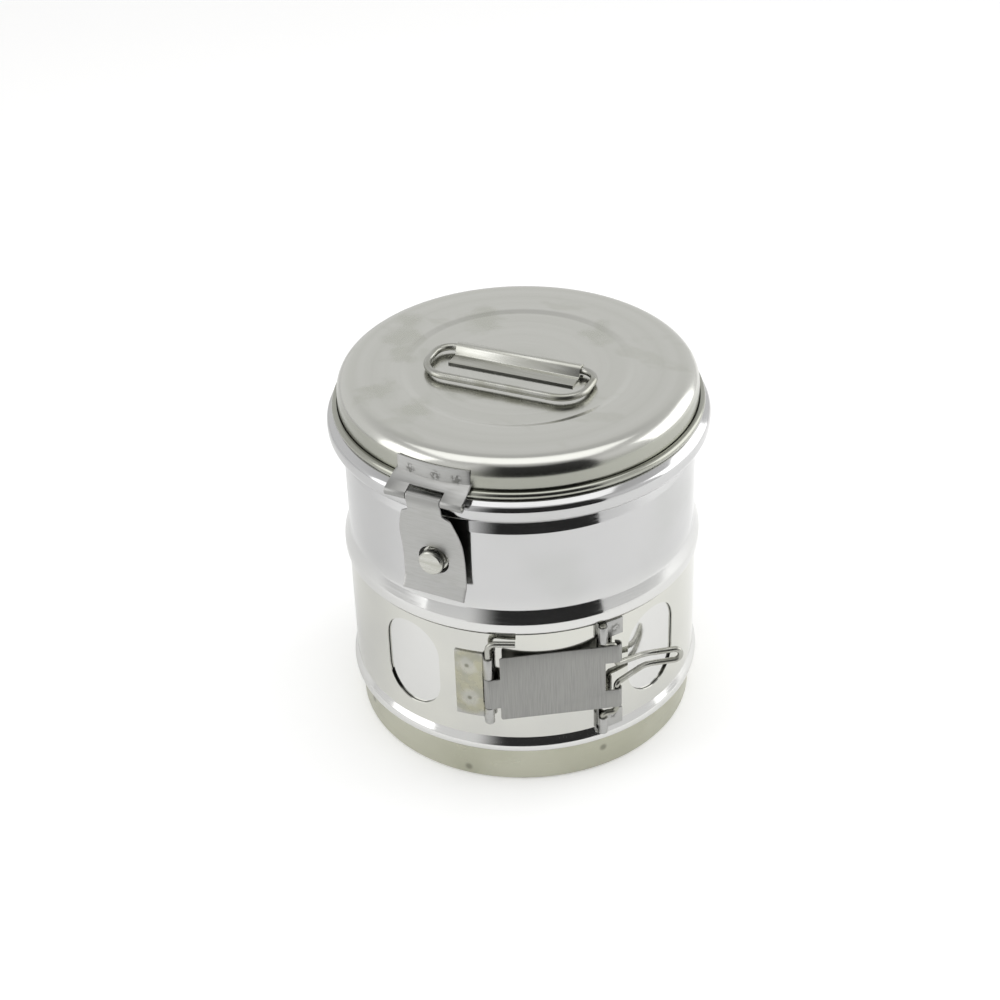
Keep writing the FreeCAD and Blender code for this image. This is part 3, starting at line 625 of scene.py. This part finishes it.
bar = put(cut, "GeometryNodeCurveToMesh", {"Curve": bar_line.outputs[0], "Profile Curve": slot_line.outputs[0],
                                           "Fill Caps": True})
spot = put(cut, "GeometryNodeInputIndex").outputs[0]
side = calc(cut, "SUBTRACT", 1.0, calc(cut, "MULTIPLY", calc(cut, "MODULO", spot, 2.0), 2.0))
pair = calc(cut, "MULTIPLY", calc(cut, "FLOOR", calc(cut, "DIVIDE", spot, 2.0)), math.pi)
pair_middle = calc(cut, "ADD", given["Middle Angle"], pair)
turn = calc(cut, "ADD", pair_middle, calc(cut, "MULTIPLY", side, given["Half Pitch"]))
spot_x = calc(cut, "MULTIPLY", given["Reach"], calc(cut, "SINE", turn))
spot_y = calc(cut, "MULTIPLY", calc(cut, "MULTIPLY", given["Reach"], calc(cut, "COSINE", turn)), -1.0)
spot_place = put(cut, "ShaderNodeCombineXYZ", {"X": spot_x, "Y": spot_y, "Z": given["Level"]})
spots = put(cut, "GeometryNodePoints", {"Count": 4, "Position": spot_place.outputs[0]})
facing = put(cut, "ShaderNodeCombineXYZ", {"X": math.pi / 2, "Z": turn})
bars = put(cut, "GeometryNodeInstanceOnPoints", {"Points": spots.outputs[0], "Instance": bar.outputs[0],
                                                 "Rotation": facing.outputs[0]})
solid_bars = put(cut, "GeometryNodeRealizeInstances", {0: bars.outputs[0]})
holed = put(cut, "GeometryNodeMeshBoolean", {"Mesh 1": given["Geometry"], "Mesh 2": solid_bars.outputs[0]},
            operation="DIFFERENCE", solver="EXACT")
finish_group(cut, given, holed.outputs[0])
print("tree", cut.name, "has", len(cut.nodes), "nodes")


def true_round(piece, low, high):
    """Gives the plain round stretch between two heights exact normals, which cutting disturbs."""
    mesh = piece.data
    normals = [Vector(n.vector) for n in mesh.corner_normals]
    for face in mesh.polygons:
        out = Vector((face.center.x, face.center.y, 0)).normalized()
        if low < face.center.z < high and abs(face.normal.dot(out)) > 0.95:
            sense = math.copysign(1, face.normal.dot(out))
            for corner in face.loop_indices:
                at = mesh.vertices[mesh.loops[corner].vertex_index].co
                normals[corner] = Vector((at.x, at.y, 0)).normalized() * sense
    mesh.normals_split_custom_set(normals)


# %% [markdown]
# Drum wall. One rolled sheet carries two small swaged beads that keep the band in its place,
# a big rim bead that stops the lid, and a plain neck that the lid slides over.

# %% Drum wall
sheet = 0.7
wall_radius = 75.0
wall_foot, wall_top = 16.4, 157.2
neck_step = 0.4
wall_middle = wall_radius - sheet / 2
neck_middle = wall_radius - neck_step - sheet / 2
bead_out = 2.5
bead_rise = 1.2
plain_from, plain_to = 32.0, 78.0
groove_foot = 129.0
groove_height = 5.8
groove_depth = 1.6
rim_foot = 136.9
rim_out = 6.0
rim_shoulder = 2.2
rim_crown = 77.6
rim_top = 146.6


def small_bead(start, crest, slope, bend):
    """Corners of a bead that steps out sharply and fades back into the wall."""
    nose = start + bead_rise
    return [(wall_middle, start, 0.6), (wall_middle + bead_out, nose, 1.8),
            (wall_middle + bead_out, nose + crest, bend), (wall_middle, nose + crest + slope, bend)]


wall_section = [(wall_middle, wall_foot, 0)]
wall_section += small_bead(17.2, 2.4, 4.0, 4.0)
wall_section += [(wall_middle, plain_from, 0), (wall_middle, plain_to, 0)]
wall_section += small_bead(80.0, 4.3, 6.0, 5.0)
wall_section += [
    (wall_middle, groove_foot, 0.8),
    (wall_middle - groove_depth, groove_foot + groove_height, 0.8),
    (wall_middle - groove_depth, rim_foot, 0.4),
    (wall_middle + rim_out, rim_foot, 4.2),
    (wall_middle + rim_out, rim_top - rim_shoulder, 2.6),
    (rim_crown, rim_top, 1.5),
    (neck_middle, rim_top, 0.8),
    (neck_middle, wall_top, 0),
]
clasp_middle = math.radians(30.0)
window_pitch = math.radians(42.4)
vent_offset = math.radians(45.0)
window_level = 54.2


def cut_slots(piece, width, height, middle, finish):
    """Cuts four slots of a size in millimetres, in two pairs about a middle angle."""
    run_tree(piece, cut, {"Width": width * mm, "Height": height * mm, "Level": window_level * mm,
                          "Reach": wall_radius * mm, "Middle Angle": middle, "Half Pitch": window_pitch,
                          "Finish": finish})


wall = spun_sheet("wall", wall_section, sheet, rolled)
cut_slots(wall, 17, 36, clasp_middle + vent_offset, rolled)
wall = plain(wall, "wall_of_rolled_sheet")
true_round(wall, plain_from * mm, plain_to * mm)
settle(wall, "drum", "drum_sheet", "drum_wall")

# %% [markdown]
# Foot and bottom. The foot ring is let into the wall and its lower edge is curled inwards, so
# the drum stands on a smooth rim. The bottom is a pressed disc above it, with its edge up.

# %% Foot ring and bottom
weld_gap = 0.05
ring_middle = wall_radius - sheet - weld_gap - sheet / 2
foot_top = 22.4
curl_inner = ring_middle - 3.5
curl_top = 2.4
foot_section = [
    (ring_middle, foot_top, 0),
    (ring_middle, sheet / 2, 1.2),
    (curl_inner, sheet / 2, 0.9),
    (curl_inner, curl_top, 0),
]
foot = plain(spun_sheet("foot", foot_section, sheet, satin), "curled_foot_ring")
settle(foot, "drum", "drum_sheet", "foot_ring")

body_gap = 0.3
flange = 8.0
bottom_level = foot_top + body_gap + sheet / 2
bottom_section = [(0, bottom_level, 0), (ring_middle, bottom_level, 2.0), (ring_middle, bottom_level + flange, 0)]
bottom = plain(spun_sheet("bottom", bottom_section, sheet, satin), "pressed_bottom")
settle(bottom, "drum", "drum_sheet", "drum_bottom")

# %% [markdown]
# Lid. It is spun in one piece: a shallow pressed circle in the middle, a soft shoulder, a
# short skirt and a curled foot. The curl makes a round edge for the fingers.

# %% Lid
lid_low, lid_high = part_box("lid_shell")
lid_slip = 0.7
lid_top = lid_high.z / mm - sheet / 2
lid_skirt = wall_radius - neck_step + lid_slip + sheet / 2
lid_foot = lid_low.z / mm + sheet / 2
press_radius = 49.0
press_depth = 0.6
press_slope = 3.0
shoulder_width = 5.7
lid_corner = lid_top - shoulder_width * math.tan(math.radians(20))
curl_out = lid_skirt + 2.6
curl_level = lid_foot + 2.7
curl_slit = 0.45
lid_section = [
    (0, lid_top - press_depth, 0),
    (press_radius - press_slope, lid_top - press_depth, 6.0),
    (press_radius, lid_top, 6.0),
    (lid_skirt - shoulder_width, lid_top, 8.0),
    (lid_skirt, lid_corner, 6.4),
    (lid_skirt, lid_foot, 1.25),
    (curl_out, lid_foot, 1.25),
    (curl_out, curl_level, 1.25),
    (lid_skirt + sheet / 2 + curl_slit, curl_level, 0),
]
lid = plain(spun_sheet("lid", lid_section, sheet, spun), "spun_lid_shell")
settle(lid, "lid", "lid_sheet", "lid_shell")

# %% [markdown]
# Vent band. A strip of spring sheet goes almost all the way round. It is spun over less than
# a full turn, which leaves the gap that the clasp closes.

# %% Vent band
band_sheet = 0.6
band_foot, band_top = 25.0, 79.6
band_middle = wall_radius + body_gap + band_sheet / 2
gap_azimuth = math.radians(50.1)
half_gap = math.asin(0.5 / band_middle)
band_section = [(band_middle, band_foot, 0), (band_middle, band_top, 0)]
band = spun_sheet("band", band_section, band_sheet, spring, gap_azimuth + half_gap, full_turn - 2 * half_gap)
cut_slots(band, 28.6, 42.6, clasp_middle, spring)
band = plain(band, "sprung_vent_band")
true_round(band, 0, 100 * mm)
settle(band, "band", "drum_sheet", "vent_band")

# %% [markdown]
# Wire. The handle, the clasp's lever and its pin are round wire, bent cold. Each is a line
# with a bend at every corner, and one tree gives the line its thickness.

# %% Node tree that draws wire
draw, given = group("Draw wire", ("Wire Size", "Float"), ("Sides", "Int"), ("Bend Points", "Int"),
                    ("Finish", "Material"))
bends = put(draw, "GeometryNodeInputRadius").outputs[0]
bent = put(draw, "GeometryNodeFilletCurve", {"Curve": given["Geometry"], "Count": given["Bend Points"],
                                             "Radius": bends, "Limit Radius": True}, mode="POLY")
ring = put(draw, "GeometryNodeCurvePrimitiveCircle",
           {"Resolution": given["Sides"], "Radius": calc(draw, "MULTIPLY", given["Wire Size"], 0.5)})
swept = put(draw, "GeometryNodeCurveToMesh", {"Curve": bent.outputs[0], "Profile Curve": ring.outputs[0],
                                              "Fill Caps": True})
finish_group(draw, given, swept.outputs[0])


def bent_wire(name, corners, size, turn):
    """A wire through (x, y, z, bend) corners in millimetres, turned about the drum's axis."""
    line = bent_line(name + "_line", corners)
    line.data.transform(Matrix.Rotation(math.radians(turn), 4, "Z"))
    run_tree(line, draw, {"Wire Size": size * mm, "Sides": 32, "Bend Points": 14, "Finish": wire})
    round_edges(line, size * 0.08 * mm, 60)
    return plain(line, name, 50.0)


# %% Handle on the lid
running_gap = 0.08
clip_sheet = 0.9
handle_size = 3.1
handle_turn = 3.5
handle_level = lid_top + sheet / 2 - press_depth + clip_sheet + handle_size / 2 + running_gap
handle_rear = 2.4
handle_front = handle_rear - 24.1
handle_half = 35.5
half_end_gap = 0.3
rear_bend, front_bend = 7.4, 11.5
handle_corners = [
    (half_end_gap, handle_rear, handle_level, 0),
    (handle_half, handle_rear, handle_level, rear_bend),
    (handle_half, handle_front, handle_level, front_bend),
    (-handle_half, handle_front, handle_level, front_bend),
    (-handle_half, handle_rear, handle_level, rear_bend),
    (-half_end_gap, handle_rear, handle_level, 0),
]
handle = bent_wire("folding_wire_handle", handle_corners, handle_size, handle_turn)
settle(handle, "handle", "bright_wire", "handle_loop")

# %% Lever and pin of the clasp
clasp_turn = 34.5
clasp_wire = 2.5
plate_inner = band_middle + band_sheet / 2 + 0.4
pin_out = plate_inner + sheet / 2 - (clasp_wire / 2 + running_gap + sheet / 2)
crank_out = plate_inner - clasp_wire / 2 - body_gap
trunnion = 22.5
crank = 28.3
crank_bend = 2.2
root_bend, knee_bend = 2.0, 14.0
lever_level = 54.0
half_root, half_tip = 5.15, 2.85


def half_lever(side, arm, end):
    """Corners of the lever's upper or lower half, from the trunnion's end to the hairpin's tip."""
    return [
        (trunnion, -pin_out, end, 0),
        (trunnion, -pin_out, arm, crank_bend),
        (crank, -crank_out, arm, crank_bend),
        (crank, -crank_out, lever_level + side * half_root, root_bend),
        (42.0, -67.2, lever_level + side * half_tip, knee_bend),
        (57.4, -66.4, lever_level + side * half_tip, half_tip),
    ]


lever_corners = half_lever(1, 69.2, 80.2) + half_lever(-1, 33.6, 23.0)[::-1]
lever = bent_wire("hairpin_lever", lever_corners, clasp_wire, clasp_turn)
settle(lever, "lever", "bright_wire", "clasp_lever")

pin_across = -25.6
pin_foot, arm_level = 35.1, 76.8
arm_end = (-14.3, -77.2, arm_level, 0)
pin_corners = [(pin_across, -pin_out, pin_foot, 0), (pin_across, -pin_out, arm_level, 3.2), arm_end]
pin = bent_wire("bent_clasp_pin", pin_corners, clasp_wire, clasp_turn)
settle(pin, "band", "bright_wire", "clasp_pin")

# %% [markdown]
# Stud. It is turned from bar: a collar on the wall, a groove for the hasp's hole and a head
# with a small chamfer. The same spinning tree makes it, upright, and it is then laid down to
# point out of the wall.

# %% Grooved stud
stud_level = 114.8
stud_base = wall_radius + weld_gap
collar, groove, head = 5.7, 4.2, 5.3
neck_from, head_from, head_end = 2.2, 4.2, 7.2
chamfer = 0.5
stud_section = [
    (0, 0.0, 0),
    (collar, 0.0, 0),
    (collar, neck_from, 0.15),
    (groove, neck_from, 0.2),
    (groove, head_from, 0.2),
    (head, head_from, 0.2),
    (head, head_end - chamfer, 0.15),
    (head - chamfer, head_end, 0.15),
    (1.0, head_end, 0.1),
    (0, 7.15, 0),
]
stud = plain(spin_section("stud", stud_section, bright, 64, 4), "grooved_stud")
lay_down = Matrix.Rotation(math.radians(90), 4, "X")
stud.data.transform(Matrix.Translation((0, -stud_base * mm, stud_level * mm)) @ lay_down)
settle(stud, "drum", "bright_wire", "hasp_stud")

# %% [markdown]
# Cut sheet. The leaves, the brackets, the strips and the clasp's plate keep the CAD's shape.
# A merged copy of each gets a hair of rounding on its cut edges, because a sharp edge never
# catches light and real punched sheet always does. The hinge pins are copied the same way.

# %% Sheet pieces with eased edges
edge_ease = 0.1 * mm
pin_ease = 0.2 * mm
merge_gap = 0.0005 * mm
flat_within = math.radians(0.4)


def eased_copy(node, name, finish, edge):
    """A merged copy of a CAD node with slightly rounded edges."""
    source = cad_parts[node].data
    shape = bmesh.new()
    corners = [shape.verts.new(vertex.co) for vertex in source.vertices]
    for face in source.polygons:
        shape.faces.new([corners[i] for i in face.vertices])
    bmesh.ops.remove_doubles(shape, verts=shape.verts, dist=merge_gap)
    bmesh.ops.dissolve_limit(shape, angle_limit=flat_within, verts=shape.verts, edges=shape.edges)
    copy = add_shape(name, shape)
    copy.data.materials.append(finish)
    round_edges(copy, edge, 38)
    return plain(copy, name, 38.0)


def paint_front_shadow(piece, top):
    """Gives the front cut edge of the clip, below a height, a painted shadow: the near-black painted shade of the gap
    under it.
    """
    piece.data.materials.append(painted_shade)
    for face in piece.data.polygons:
        if face.normal.y < -0.9 and face.center.z < top:
            face.material_index = 1


sheet_pieces = [
    ("hasp_bracket", "hasp_bracket_on_lid", "lid", plate),
    ("lid_hinge_leaf", "hinge_leaf_on_lid", "lid", plate),
    ("drum_hinge_leaf", "hinge_leaf_on_drum", "drum", plate),
    ("handle_clip", "rolled_handle_clip", "lid", bright),
    ("clasp_plate", "brushed_clasp_plate", "plate", brushed),
    ("clasp_bracket", "heat_tinted_bracket", "band", tinted),
    ("upper_end_knuckle", "upper_knuckle_strip", "band", plate),
    ("lower_end_knuckle", "lower_knuckle_strip", "band", plate),
]
for node, name, body, finish in sheet_pieces:
    piece = eased_copy(node, name, finish, edge_ease)
    # The clip's front cut edge gets a painted shadow, for the gap under its leaf.
    if node == "handle_clip":
        paint_front_shadow(piece, (lid_top + 1.0) * mm)
    settle(piece, body, "fittings", node)

for node, name in (("lid_hinge_pin", "pin_of_lid_hinge"), ("hasp_pin", "pin_of_hasp")):
    settle(eased_copy(node, name, wire, pin_ease), "lid", "bright_wire", node)

# %% [markdown]
# Hasp. It is one strip of sheet: a lip to lift it by, a slightly bowed plate that widens
# from its neck in a soft shoulder, and a roll round the pin. Its side view is a path, its
# width follows the height, and the stud's hole is punched last. Its back gets the
# near-black painted shade.

# %% Side view of the hasp
pin_low, pin_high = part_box("hasp_pin")
pin_centre = Vector((-(pin_low.y + pin_high.y), pin_low.z + pin_high.z)) / 2 / mm
pin_radius = 1.2
roll_radius = pin_radius + running_gap + sheet / 2
roll_turn = 285.0
roll_steps = 28
lip_end = Vector((80.7, 98.6))
lip_fold, fold_bend = Vector((78.1, 104.0)), 3.0
bow, bow_bend = Vector((78.1, 117.0)), 60.0


def rounded_corner(before, corner, after, bend, steps):
    """Points of an arc that rounds a corner of a path."""
    into, out = (corner - before).normalized(), (after - corner).normalized()
    half_angle = into.angle(out) / 2
    tangent = bend * math.tan(half_angle)
    start, end = corner - into * tangent, corner + out * tangent
    centre = corner + (out - into).normalized() * bend / math.cos(half_angle)
    arc = [start.lerp(end, step / steps) for step in range(steps + 1)]
    return [centre + (point - centre).normalized() * bend for point in arc]


reach = pin_centre - bow
lean = math.atan2(reach.y, reach.x) - math.asin(roll_radius / reach.length)
touch = bow + Vector((math.cos(lean), math.sin(lean))) * math.sqrt(reach.length_squared - roll_radius**2)
first = math.atan2(touch.y - pin_centre.y, touch.x - pin_centre.x)
side_view = [lip_end] + rounded_corner(lip_end, lip_fold, bow, fold_bend, 8)
side_view += rounded_corner(lip_fold, bow, touch, bow_bend, 20)
for step in range(roll_steps + 1):
    turn = first + math.radians(roll_turn) * step / roll_steps
    side_view.append(pin_centre + Vector((math.cos(turn), math.sin(turn))) * roll_radius)
print("hasp leans", round(math.degrees(lean)), "degrees and touches its roll at", [round(c, 1) for c in touch])

# %% Hasp from its side view and its width
neck_half, shoulder_half, body_half = 7.5, 11.0, 14.0
shoulder_from, shoulder_fall = 141.0, 2.6
body_from, body_fall = 138.5, 15.0
hasp_columns = 28
row_height = 0.7


def within(value):
    """The value, kept between 0 and 1."""
    return min(max(value, 0.0), 1.0)


def hasp_half_width(height):
    """Half the hasp's width at a height: neck, shoulder and body."""
    shoulder = within((shoulder_from - height) / shoulder_fall)
    body = within((body_from - height) / body_fall)
    soft_step = shoulder * shoulder * (3 - 2 * shoulder)
    soft_curve = math.sin(body * math.pi / 2)
    return neck_half + (shoulder_half - neck_half) * soft_step + (body_half - shoulder_half) * soft_curve


fine_view = []
for here, following in zip(side_view, side_view[1:]):
    parts = max(1, round((following - here).length / row_height))
    fine_view += [here.lerp(following, part / parts) for part in range(parts)]
fine_view.append(side_view[-1])
hasp_shape = bmesh.new()
lines_across = []
for point in fine_view:
    on_roll = (point - pin_centre).length < roll_radius * 1.02
    half = neck_half if on_roll else hasp_half_width(point.y)
    across = [half * (2 * column / hasp_columns - 1) for column in range(hasp_columns + 1)]
    lines_across.append([hasp_shape.verts.new((x * mm, -point.x * mm, point.y * mm)) for x in across])
skin(hasp_shape, lines_across)
hasp = add_shape("hasp_strip", hasp_shape)
hasp.data.materials.append(plate)
hasp.data.materials.append(painted_shade)

# %% Hole of the hasp
hole_radius = 6.8 * mm
punch_depth = 12 * mm
punch_shape = bmesh.new()
lay_flat = Matrix.Translation((0, -78 * mm, stud_level * mm)) @ lay_down
bmesh.ops.create_cone(punch_shape, cap_ends=True, segments=64, radius1=hole_radius, radius2=hole_radius,
                      depth=punch_depth, matrix=lay_flat)
punch = add_shape("punch", punch_shape)
punch.data.materials.append(plate)

# The hasp's back takes the second finish, the near-black painted shade.
thicken(hasp, sheet).material_offset = 1
hole = hasp.modifiers.new("hole", "BOOLEAN")
hole.operation = "DIFFERENCE"
hole.object = punch
hole.solver = "EXACT"
round_edges(hasp, edge_ease, 50)
hasp = plain(hasp, "bowed_hasp")
bpy.data.objects.remove(punch)
settle(hasp, "hasp", "fittings", "hasp_plate")
